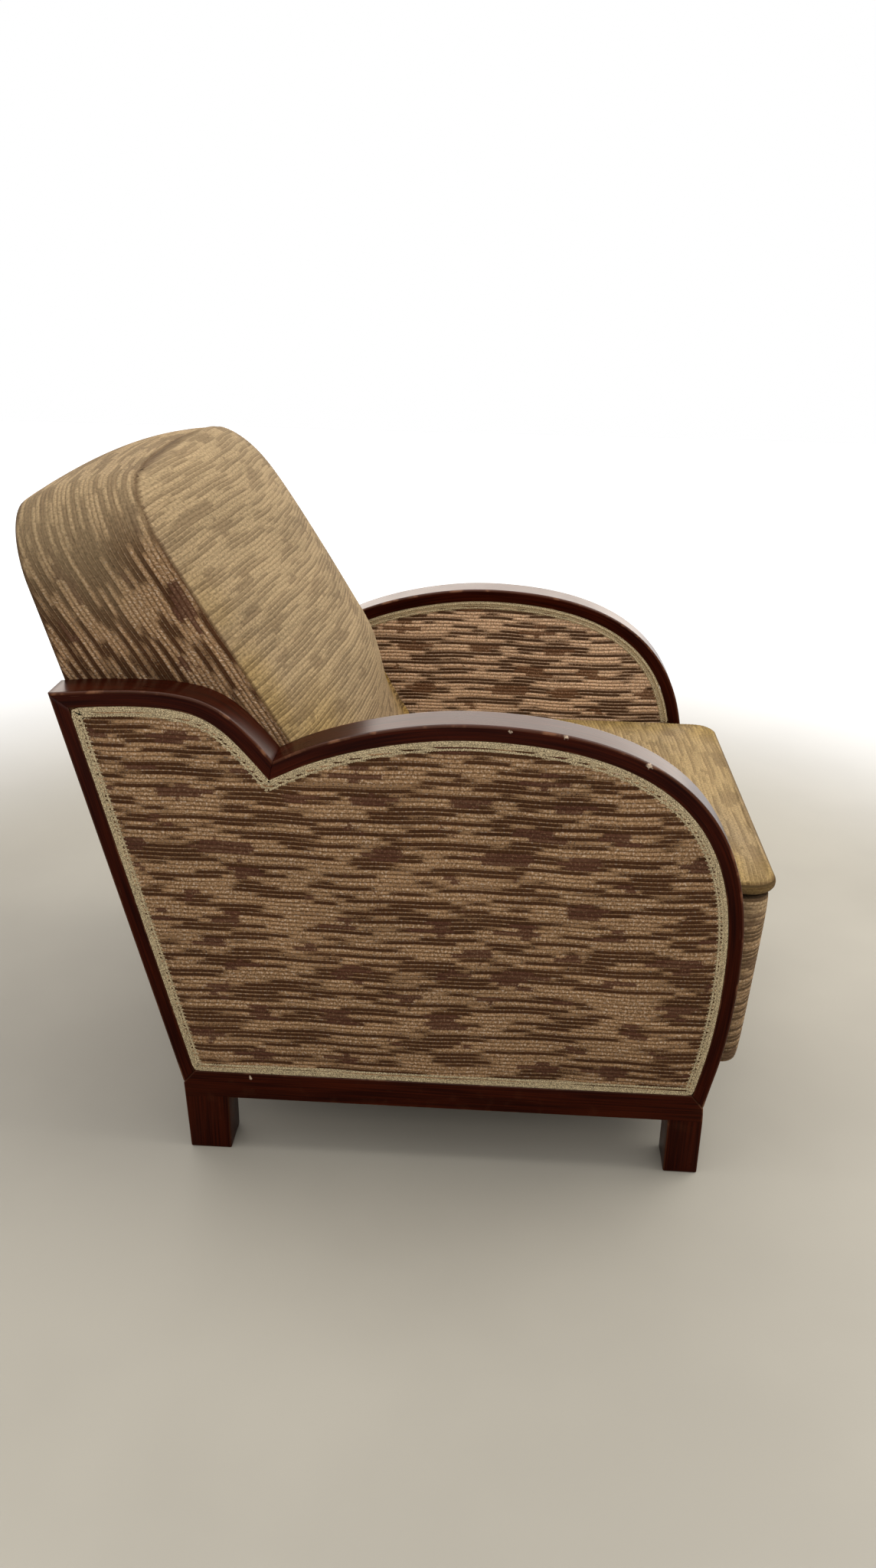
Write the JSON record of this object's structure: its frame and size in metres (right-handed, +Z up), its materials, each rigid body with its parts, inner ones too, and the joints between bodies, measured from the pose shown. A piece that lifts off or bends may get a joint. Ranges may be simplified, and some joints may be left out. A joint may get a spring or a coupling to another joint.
{
  "type": "armchair",
  "caption": "Low art-deco armchair with round show-wood arms, padded cloth side panels edged with braid, a sprung seat and a thick reclined back.",
  "frame": {"origin": "on the floor, midway across the arms and midway between the back's rear top and the seat's front lip", "axes": "+Z up; the chair faces -Y; the sitter's right arm is at -X"},
  "size_m": [0.67, 0.9034, 0.8665],
  "materials": {
    "mahogany": "dark mahogany-stained hardwood, glossy lacquer, worn edges",
    "beech": "plain sawn beech",
    "panel_cloth": "ribbed chenille, brown dashes on tan",
    "faded_cloth": "the same cloth, sun-faded to gold-tan",
    "gimp": "double-row upholstery braid, olive-beige",
    "webbing": "jute webbing",
    "hessian": "hessian",
    "spring_steel": "coppered steel, dulled",
    "dust_cloth": "thin black cambric"
  },
  "bodies": {
    "root": {"back_band": "panel_cloth", "back_bottom_rail": "beech", "back_left_upright": "beech", "back_pad": "faded_cloth", "back_right_upright": "beech", "back_top_rail": "beech", "back_webbing_1": "webbing", "back_webbing_2": "webbing", "back_webbing_3": "webbing", "dust_cover": "dust_cloth", "front_apron": "panel_cloth", "left_arm_arch": "mahogany", "left_bottom_rail": "mahogany", "left_front_batten": "beech", "left_front_foot": "mahogany", "left_inner_braid": "gimp", "left_inner_panel": "panel_cloth", "left_outer_braid": "gimp", "left_outer_panel": "panel_cloth", "left_rear_batten": "beech", "left_rear_foot": "mahogany", "left_rear_post": "mahogany", "left_shoulder_rail": "mahogany", "outer_back": "panel_cloth", "rear_stretcher": "beech", "right_arm_arch": "mahogany", "right_bottom_rail": "mahogany", "right_front_batten": "beech", "right_front_foot": "mahogany", "right_inner_braid": "gimp", "right_inner_panel": "panel_cloth", "right_outer_braid": "gimp", "right_outer_panel": "panel_cloth", "right_rear_batten": "beech", "right_rear_foot": "mahogany", "right_rear_post": "mahogany", "right_shoulder_rail": "mahogany", "seat_front_rail": "beech", "seat_left_rail": "beech", "seat_pad": "faded_cloth", "seat_rear_rail": "beech", "seat_right_rail": "beech", "seat_spring_1": "spring_steel", "seat_spring_2": "spring_steel", "seat_spring_3": "spring_steel", "seat_spring_4": "spring_steel", "seat_spring_5": "spring_steel", "seat_spring_6": "spring_steel", "seat_spring_7": "spring_steel", "seat_spring_8": "spring_steel", "seat_spring_9": "spring_steel", "seat_webbing_cross_1": "webbing", "seat_webbing_cross_2": "webbing", "seat_webbing_cross_3": "webbing", "seat_webbing_long_1": "webbing", "seat_webbing_long_2": "webbing", "seat_webbing_long_3": "webbing", "spring_cover": "hessian"}
  },
  "joints": []
}
